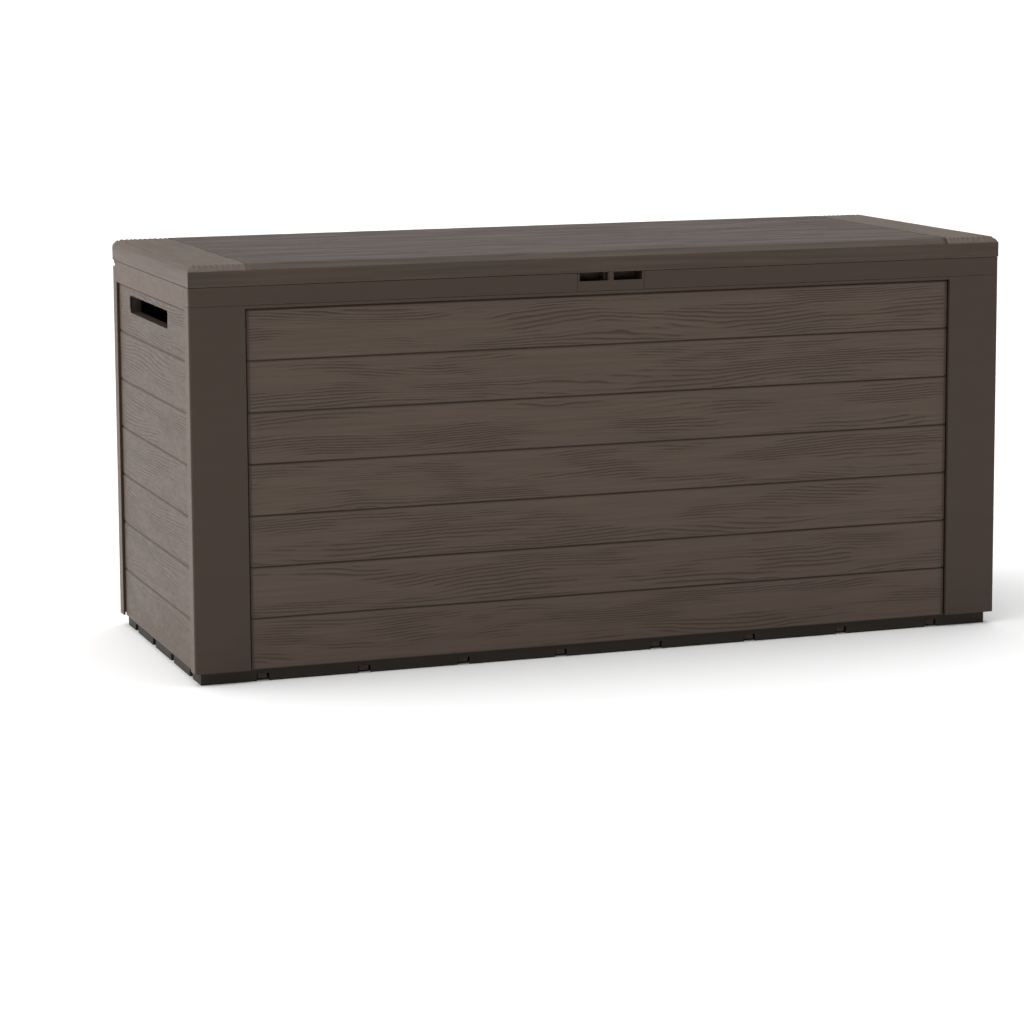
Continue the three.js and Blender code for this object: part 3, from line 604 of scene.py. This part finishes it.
def lid_skin_tree():
    """A stretch of the lid's skin: a fine sheet wrapped over the rounded ends and chamfered sides, then
    grained, with painted shade in its grain valleys.
    """
    tree, given = geometry_tree(
        "lid skin",
        {"From": "Float", "To": "Float", "Columns": "Int", "Rows": "Int", "Half Length": "Float",
         "Half Depth": "Float", "End Round": "Float", "Chamfer": "Float", "Grain Depth": "Float",
         "Grain Shade": "Float", "Grain Spacing": "Float", "Drift": "Float", "Across": "Float",
         "Seed": "Float", "Cover": "Float", "Material": "Material"},
    )
    width = add(tree, MATHS, "SUBTRACT", given["To"], given["From"])
    side_run = add(tree, MATHS, "MULTIPLY_ADD", given["Chamfer"], math.sqrt(2) - 1, given["Half Depth"])
    sheet = add(tree, "GeometryNodeMeshGrid", Size_X=width, Size_Y=add(tree, MATHS, "MULTIPLY", side_run, 2),
                Vertices_X=given["Columns"], Vertices_Y=given["Rows"]).outputs["Mesh"]
    place = add(tree, "ShaderNodeSeparateXYZ", Vector=add(tree, "GeometryNodeInputPosition").outputs[0])
    middle = add(tree, MATHS, "MULTIPLY", add(tree, MATHS, "ADD", given["To"], given["From"]), 0.5)
    run_x = add(tree, MATHS, "ADD", place.outputs["X"], middle)
    run_y = place.outputs["Y"]
    x, end_drop = wrapped(tree, run_x, given["Half Length"], given["End Round"])
    y, side_drop = wrapped(tree, run_y, given["Half Depth"], given["Chamfer"], chamfer=True)
    drop = add(tree, MATHS, "MAXIMUM", end_drop, side_drop)
    over = given["Across"]
    stay = add(tree, MATHS, "SUBTRACT", 1.0, over)
    along = add(tree, MATHS, "MULTIPLY_ADD", run_x, stay, add(tree, MATHS, "MULTIPLY", run_y, over))
    across = add(tree, MATHS, "MULTIPLY_ADD", run_y, stay, add(tree, MATHS, "MULTIPLY", run_x, over))
    grain = add(
        tree, "GeometryNodeGroup", {"node_tree": wood_grain}, Along=along, Across=across,
        Seed=given["Seed"], Spacing=given["Grain Spacing"], Drift=given["Drift"], Cover=given["Cover"],
    )
    depth = add(tree, MATHS, "MULTIPLY", add(tree, MATHS, "SUBTRACT", 1.0, grain), given["Grain Depth"])
    fade = add(tree, "ShaderNodeMapRange", None, Value=drop,
               i1=0.0, i2=add(tree, MATHS, "MULTIPLY", given["Chamfer"], 0.7), i3=1.0, i4=0.0)
    total = add(tree, MATHS, "MULTIPLY_ADD", depth, fade.outputs[0], drop)
    # Painted shade: the grain valleys are darkened in colour, scaled by Grain Shade.
    valley = add(tree, MATHS, "MULTIPLY", add(tree, MATHS, "SUBTRACT", 1.0, grain), fade.outputs[0])
    shade = add(tree, MATHS, "MULTIPLY", given["Grain Shade"], valley)
    kept = add(
        tree, "GeometryNodeStoreNamedAttribute", {"data_type": "FLOAT", "domain": "POINT"},
        Geometry=sheet, Name="grain", Value=add(tree, MATHS, "SUBTRACT", 1.0, shade),
    ).outputs[0]
    down = add(tree, "ShaderNodeCombineXYZ", X=x, Y=y, Z=add(tree, MATHS, "MULTIPLY", total, -1)).outputs[0]
    moved = add(tree, "GeometryNodeSetPosition", Geometry=kept, Position=down).outputs[0]
    finish_tree(tree, moved, given["Material"])
    return tree


lid_skin = lid_skin_tree()


def in_barrel_window(x):
    """True beside a hinge knuckle, where the rim is cut away above it."""
    return any(
        outer - window_length - window_margin < abs(x) < outer + window_margin
        for outer in window_outer_ends
    )


def close_lid_skin(piece):
    """Draws the rim down from the skin's outer edge, then back up inside and across."""
    piece.data.transform(Matrix.Translation((0, 0, lid_top)))
    work = bmesh.new()
    work.from_mesh(piece.data)
    near = 0.05 * MM

    def on_rim(co):
        return abs(co.x) > half_length - near or abs(co.y) > half_depth - near

    def draw(place):
        drawn = bmesh.ops.extrude_edge_only(work, edges=rim_edges(work))["geom"]
        for v in drawn:
            if isinstance(v, bmesh.types.BMVert):
                v.co = place(v.co)

    window_top = lid_base + window_height

    def to_window(co):
        return Vector((co.x, co.y, window_top if on_rim(co) else min(underside, co.z - 0.6 * MM)))

    def to_base(co):
        low = on_rim(co) and not (co.y > 0 and in_barrel_window(co.x))
        return Vector((co.x, co.y, lid_base if low else co.z))

    def inwards(co):
        x = math.copysign(min(abs(co.x), half_length - skin), co.x)
        y = math.copysign(min(abs(co.y), half_depth - skin), co.y)
        return Vector((x, y, co.z))

    def up_inside(co):
        return Vector((co.x, co.y, max(co.z, lid_top - inner_wall)))

    def over(co):
        x = math.copysign(min(abs(co.x), half_length - end_round - skin), co.x)
        y = math.copysign(min(abs(co.y), half_depth - chamfer - skin), co.y)
        return Vector((x, y, underside))

    for place in (to_window, to_base, inwards, up_inside, over):
        draw(place)
    bmesh.ops.contextual_create(work, geom=rim_edges(work), mat_nr=0, use_smooth=False)
    bmesh.ops.remove_doubles(work, verts=work.verts, dist=2e-6)
    bmesh.ops.recalc_face_normals(work, faces=work.faces)
    piece.data.materials.append(plain_plastic)
    piece.data.materials.append(lid_plastic)
    for f in work.faces:
        f.smooth = f.normal.z > 0.02
        # Rim faces that look to the front or back take the lid plastic, so the ends' painted light stays on
        # their tops and rounded ends.
        f.material_index = 1 if f.normal.z < -0.5 else 2 if abs(f.normal.y) > 0.9 else 0
    work.to_mesh(piece.data)
    work.free()


end_run = half_length + end_round * (math.pi / 2 - 1)
gap = 0.02 * MM
along_grain = {
    "Across": 0.0, "Grain_Spacing": 5.2 * MM, "Drift": 45 * MM, "Grain_Depth": 0.8 * MM,
    "Grain_Shade": 0.7, "Cover": 0.0, "Columns": 126, "Material": lid_plastic,
}
cross_grain = {
    "Across": 1.0, "Grain_Spacing": 7.0 * MM, "Drift": 10 * MM, "Grain_Depth": 1.7 * MM,
    "Grain_Shade": 0.25, "Cover": 0.14, "Columns": 84, "Material": lid_end_painted_light_plastic,
}
stretches = {
    "lid_skin_middle": (-seam + gap, seam - gap, 7.0, along_grain),
    "lid_skin_left": (-end_run, -seam - gap, 11.0, cross_grain),
    "lid_skin_right": (seam + gap, end_run, 13.0, cross_grain),
}
for name, (start, end, seed, grain) in stretches.items():
    piece = grow(
        lid_skin, name, From=start, To=end, Rows=350, Half_Length=half_length, Half_Depth=half_depth,
        End_Round=end_round, Chamfer=chamfer, Seed=seed, **grain,
    )
    close_lid_skin(piece)
    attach(piece, "lid")


def tuck_in(co):
    """Draws the tray's outside in, so that it lies just under the skin."""
    if co.z > lid_top - chamfer * 1.6:
        co.z = min(co.z, underside + 0.5 * MM)
        co.x = math.copysign(min(abs(co.x), half_length - end_round), co.x)
        co.y = math.copysign(min(abs(co.y), half_depth - chamfer), co.y)
    elif abs(co.x) > half_length - 0.9 * MM or abs(co.y) > half_depth - 0.3 * MM:
        co.x = math.copysign(min(abs(co.x), half_length - 1.0 * MM), co.x)
        co.y = math.copysign(min(abs(co.y), half_depth - 1.0 * MM), co.y)


lid_tray = moulded_copy("lid", "lid_tray", plain_plastic, 0.3 * MM, nudge=tuck_in)
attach(lid_tray, "lid")
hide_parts("lid")

# ---------------------------------------------------------------------------------------------
# Hasp plate: a small plain plate that swings with the lid and stands beside the padlock eye when
# the lid is shut. Its foot lies under the lid.
# ---------------------------------------------------------------------------------------------
hasp_plate = moulded_copy("hasp_plate", "hasp_plate_shell", plain_plastic, 0.3 * MM)
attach(hasp_plate, "lid")
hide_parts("hasp_plate")

# ---------------------------------------------------------------------------------------------
# Hinge pins and corner pegs: small black-brown polypropylene mouldings. The pins are pushed into
# the knuckles by hand, and the pegs through the end panels' edges behind the posts.
# ---------------------------------------------------------------------------------------------
pin_plastic = moulded_plastic("dark polypropylene, pins", "2a2624", "221f1d", 0.4, embossed=False)
for name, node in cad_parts.items():
    if name.startswith(("hinge_pin", "corner_peg")):
        node.data.materials.clear()
        node.data.materials.append(pin_plastic)
